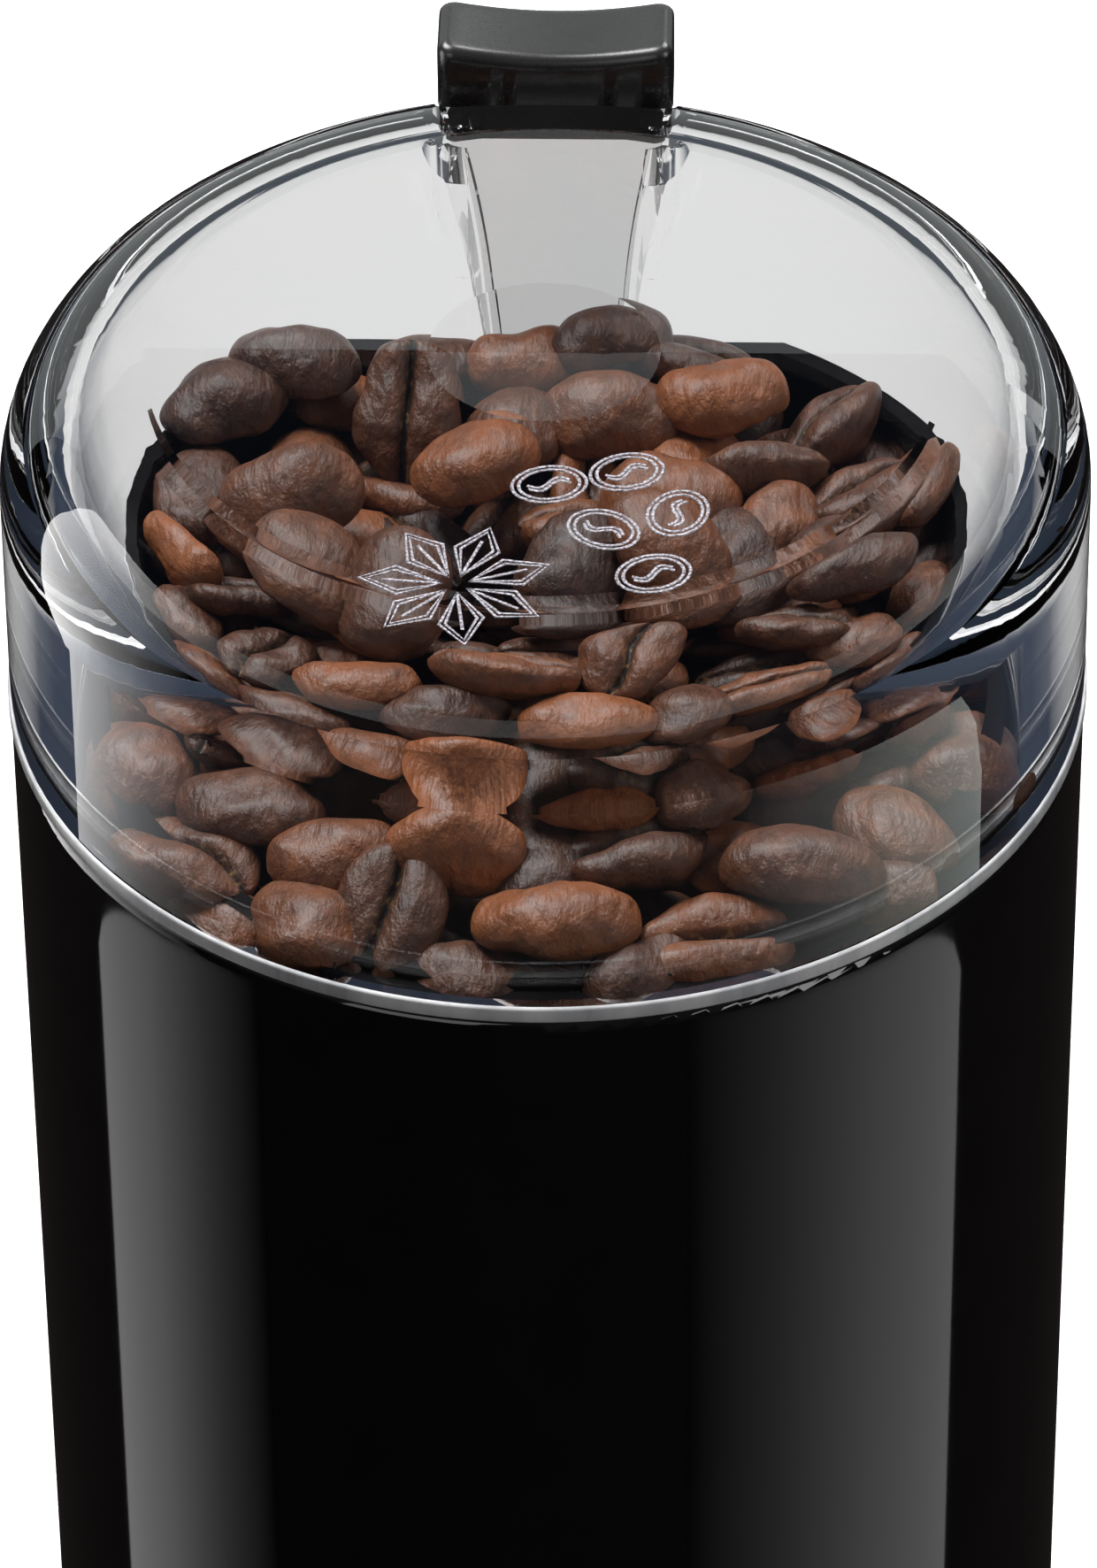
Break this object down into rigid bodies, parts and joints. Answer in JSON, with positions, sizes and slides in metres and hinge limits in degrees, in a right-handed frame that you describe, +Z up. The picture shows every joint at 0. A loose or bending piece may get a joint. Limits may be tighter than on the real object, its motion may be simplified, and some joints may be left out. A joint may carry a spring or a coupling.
{
  "type": "blade coffee grinder",
  "caption": "Hand-held electric blade grinder: round gloss black housing with a motor, steel bowl and spinning blade under a thick clear lift-off lid with a rear press button.",
  "frame": {"origin": "on the table, at the centre of the whole object's footprint, which is the housing's axis", "axes": "+Z up along the motor shaft, the front of the grinder faces -Y, and the press button stands on the +Y side"},
  "size_m": [0.088, 0.088, 0.188],
  "materials": {
    "gloss_black": "polished black ABS",
    "matte_black": "fine moulded texture",
    "black_rubber": "soft, matt",
    "zinc_screws": "bright zinc and ground steel",
    "stainless_steel": "drawn and brushed",
    "spring_steel": "bright wire and strip",
    "laminations": "stacked sheet, varnished",
    "copper": "enamelled copper",
    "cream_plastic": "moulded",
    "bronze": "sintered bronze",
    "brass": "pressed strip",
    "carbon": "pressed graphite",
    "yellow_film": "cast box",
    "fuse_can": "plain",
    "brown_wire": "PVC insulation",
    "blue_wire": "PVC insulation",
    "grey_wire": "PVC insulation",
    "clear_plastic": "clear, polished"
  },
  "bodies": {
    "root": {"housing": "gloss_black", "base_cover": "matte_black", "rubber_feet": "black_rubber", "base_screws": "zinc_screws", "cord_inlet_bush": "black_rubber", "chamber_collar": "gloss_black", "bowl_carrier": "matte_black", "carrier_screws": "zinc_screws", "grinding_bowl": "stainless_steel", "bowl_clamp_ring": "matte_black", "shaft_seal": "black_rubber", "upper_bearing": "bronze", "lower_bearing": "bronze", "upper_bridge": "matte_black", "lower_bridge": "matte_black", "stator_core": "laminations", "field_coil_left": "copper", "field_coil_right": "copper", "motor_screws": "zinc_screws", "motor_dampers": "black_rubber", "brush_holder_front": "brass", "brush_holder_back": "brass", "brush_front": "carbon", "brush_back": "carbon", "brush_spring_front": "spring_steel", "brush_spring_back": "spring_steel", "brush_cap_front": "matte_black", "brush_cap_back": "matte_black", "slider_spring": "spring_steel", "switch_bracket": "matte_black", "bracket_screws": "zinc_screws", "switch_body": "matte_black", "switch_terminals": "brass", "lever_pin": "zinc_screws", "terminal_block": "cream_plastic", "suppressor_capacitor": "yellow_film", "thermal_fuse": "fuse_can", "live_wire": "brown_wire", "neutral_wire": "blue_wire", "switched_wire": "grey_wire", "brush_wire_front": "grey_wire", "brush_wire_back": "grey_wire"},
    "rotor": {"blade": "stainless_steel", "blade_hub": "matte_black", "blade_cap_nut": "stainless_steel", "motor_shaft": "zinc_screws", "armature_core": "laminations", "armature_winding": "copper", "commutator": "copper", "motor_fan": "cream_plastic", "retaining_clip": "zinc_screws", "thrust_washer": "bronze"},
    "lid": {"lid_shell": "clear_plastic"},
    "press_button": {"press_button": "gloss_black", "push_tongue": "clear_plastic"},
    "switch_slider": {"switch_slider": "cream_plastic"},
    "switch_lever": {"switch_lever": "spring_steel"},
    "switch_button": {"switch_button": "cream_plastic"}
  },
  "joints": [
    {"name": "blade_spin", "type": "hinge", "parent": "root", "child": "rotor", "pos_m": [0, 0, 0.06], "axis": [0, 0, 1], "continuous": true},
    {"name": "lid_lift", "type": "slide", "parent": "root", "child": "lid", "axis": [0, 0, 1], "range_m": [0, 0.06]},
    {"name": "button_press", "type": "slide", "parent": "lid", "child": "press_button", "axis": [0, 0, -1], "range_m": [0, 0.004], "stiffness_N_per_m": 400, "springref_m": -0.002},
    {"name": "slider_travel", "type": "slide", "parent": "root", "child": "switch_slider", "axis": [0, 0, -1], "range_m": [0, 0.004], "stiffness_N_per_m": 200, "springref_m": -0.002, "deforming": ["slider_spring"]},
    {"name": "lever_swing", "type": "hinge", "parent": "root", "child": "switch_lever", "pos_m": [-0.0045, 0.0356, 0.099], "axis": [0, 1, 0], "range_deg": [0, 20.9]},
    {"name": "plunger_travel", "type": "slide", "parent": "root", "child": "switch_button", "axis": [0, 0, -1], "range_m": [0, 0.00125]}
  ],
  "couplings": [
    {"joint": "slider_travel", "follows": "button_press", "ratio": 1},
    {"joint": "lever_swing", "follows": "button_press", "rad_per_m": 90.9},
    {"joint": "plunger_travel", "follows": "button_press", "ratio": 0.31}
  ]
}
